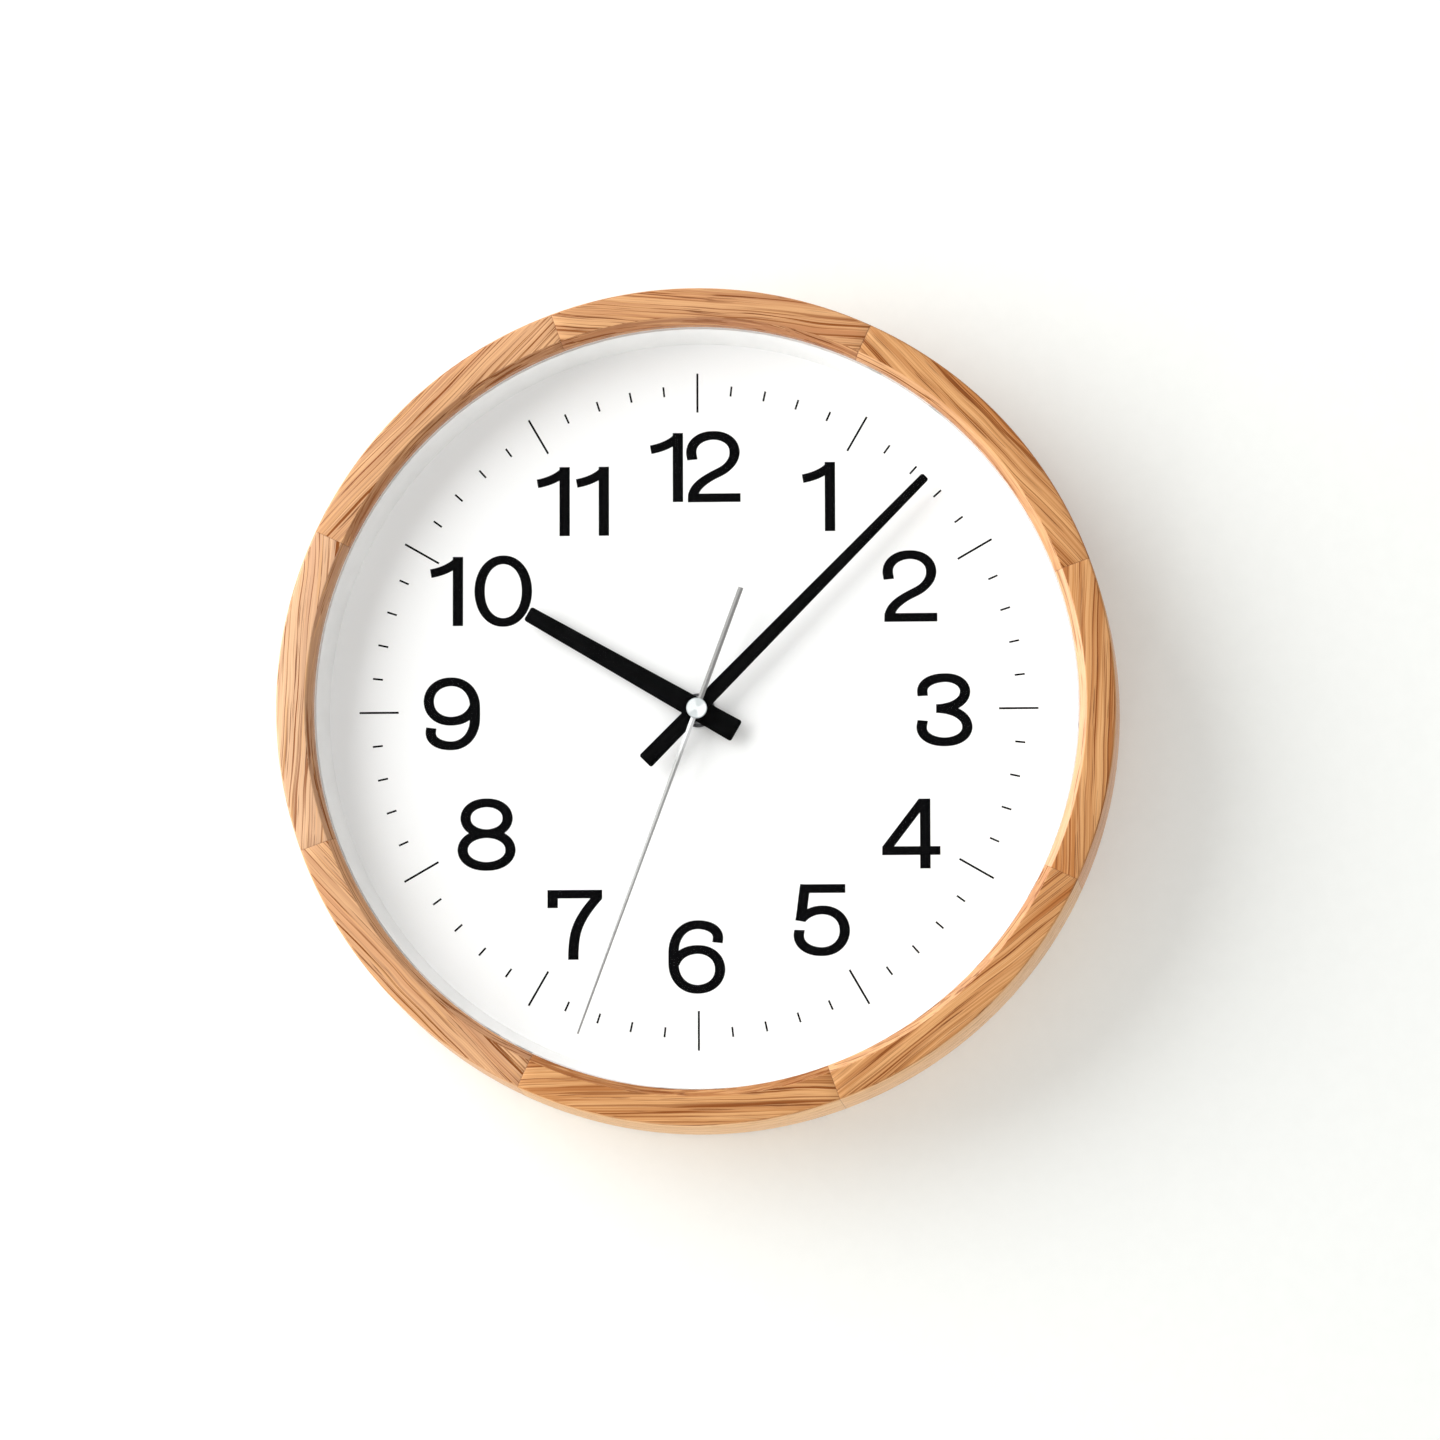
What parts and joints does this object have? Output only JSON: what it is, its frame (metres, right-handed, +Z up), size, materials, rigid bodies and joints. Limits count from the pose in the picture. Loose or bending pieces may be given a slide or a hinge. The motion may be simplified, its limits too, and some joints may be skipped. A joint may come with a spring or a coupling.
{
  "type": "wall clock",
  "caption": "Round wall clock with a mitred oak ring, flat front glass, plain white dial, tapered hands and a battery quartz movement with its gear train.",
  "frame": {"origin": "centre of the hanging hole in the keyhole plate, in the plane of the wall", "axes": "+Z up to twelve o'clock, +Y into the wall, the dial faces -Y, three o'clock is at +X"},
  "size_m": [0.308, 0.048, 0.308],
  "materials": {
    "oak": "straight-grained, clear matt lacquer",
    "pine": "planed, raw",
    "glass": "clear, flat",
    "white_plastic": "satin",
    "dial_white": "matt white print sheet",
    "fibreboard": "raw fibreboard",
    "steel": "zinc plated",
    "rubber": "matt",
    "brass": "turned",
    "black_plastic": "fine moulded grain",
    "natural_plastic": "moulded acetal",
    "copper_wire": "enamelled copper wire",
    "circuit_green": "solder mask",
    "magnet": "sintered magnet",
    "aluminium": "spun and brushed",
    "black_aluminium": "matt black coat",
    "battery": "printed sleeve on a steel can"
  },
  "bodies": {
    "clock": {"frame_stave_1": "oak", "frame_stave_2": "oak", "frame_stave_3": "oak", "frame_stave_4": "oak", "frame_stave_5": "oak", "frame_stave_6": "oak", "frame_stave_7": "oak", "frame_stave_8": "oak", "front_glass": "glass", "reflector_ring": "white_plastic", "dial_sheet": "dial_white", "dial_board": "fibreboard", "retaining_points": "steel", "hanger_block": "pine", "keyhole_plate": "steel", "hanger_screws": "steel", "rubber_washer": "rubber", "brass_washer": "brass", "hex_nut": "steel", "case_base": "black_plastic", "case_cover": "black_plastic", "middle_plate": "natural_plastic", "stator": "steel", "coil_core": "steel", "coil_bobbin": "natural_plastic", "coil_winding": "copper_wire", "coil_screws": "steel", "circuit_board": "circuit_green", "control_chip": "black_plastic", "quartz_crystal": "steel", "contact_positive": "brass", "contact_negative": "steel"},
    "rotor": {"rotor_magnet": "magnet", "rotor_pinion": "natural_plastic"},
    "intermediate_work": {"intermediate_wheel": "natural_plastic"},
    "third_work": {"third_wheel": "natural_plastic"},
    "second_work": {"second_wheel": "natural_plastic", "second_arbor": "steel", "second_hand": "aluminium", "second_tube": "aluminium", "second_cap": "aluminium"},
    "minute_work": {"centre_wheel": "natural_plastic", "minute_pipe": "steel", "minute_hand": "black_aluminium", "minute_collet": "brass"},
    "setting_work": {"minute_wheel": "natural_plastic", "setting_knob": "black_plastic"},
    "hour_work": {"hour_wheel": "natural_plastic", "hour_hand": "black_aluminium", "hour_collet": "brass"},
    "battery": {"battery_cell": "battery"}
  },
  "joints": [
    {"name": "second_hand_turn", "type": "hinge", "parent": "clock", "child": "second_work", "pos_m": [0, 0, -0.122], "axis": [0, 1, 0], "continuous": true},
    {"name": "third_wheel_turn", "type": "hinge", "parent": "clock", "child": "third_work", "pos_m": [-0.00996, 0, -0.11625], "axis": [0, 1, 0], "continuous": true},
    {"name": "minute_hand_turn", "type": "hinge", "parent": "clock", "child": "minute_work", "pos_m": [0, 0, -0.122], "axis": [0, 1, 0], "continuous": true},
    {"name": "setting_knob_turn", "type": "hinge", "parent": "clock", "child": "setting_work", "pos_m": [0.012, 0, -0.122], "axis": [0, 1, 0], "continuous": true},
    {"name": "hour_hand_turn", "type": "hinge", "parent": "clock", "child": "hour_work", "pos_m": [0, 0, -0.122], "axis": [0, 1, 0], "continuous": true},
    {"name": "intermediate_wheel_turn", "type": "hinge", "parent": "clock", "child": "intermediate_work", "pos_m": [0.00575, 0, -0.11204], "axis": [0, 1, 0], "continuous": true},
    {"name": "rotor_turn", "type": "hinge", "parent": "clock", "child": "rotor", "pos_m": [0.01402, 0, -0.11058], "axis": [0, 1, 0], "continuous": true},
    {"name": "battery_out", "type": "slide", "parent": "clock", "child": "battery", "axis": [0, 1, 0], "range_m": [0, 0.02]}
  ],
  "couplings": [
    {"joint": "third_wheel_turn", "follows": "second_hand_turn", "ratio": -0.13333},
    {"joint": "minute_hand_turn", "follows": "second_hand_turn", "ratio": 0.016667},
    {"joint": "setting_knob_turn", "follows": "second_hand_turn", "ratio": -0.0055556},
    {"joint": "hour_hand_turn", "follows": "second_hand_turn", "ratio": 0.0013889},
    {"joint": "intermediate_wheel_turn", "follows": "second_hand_turn", "ratio": -5},
    {"joint": "rotor_turn", "follows": "second_hand_turn", "ratio": 30}
  ]
}
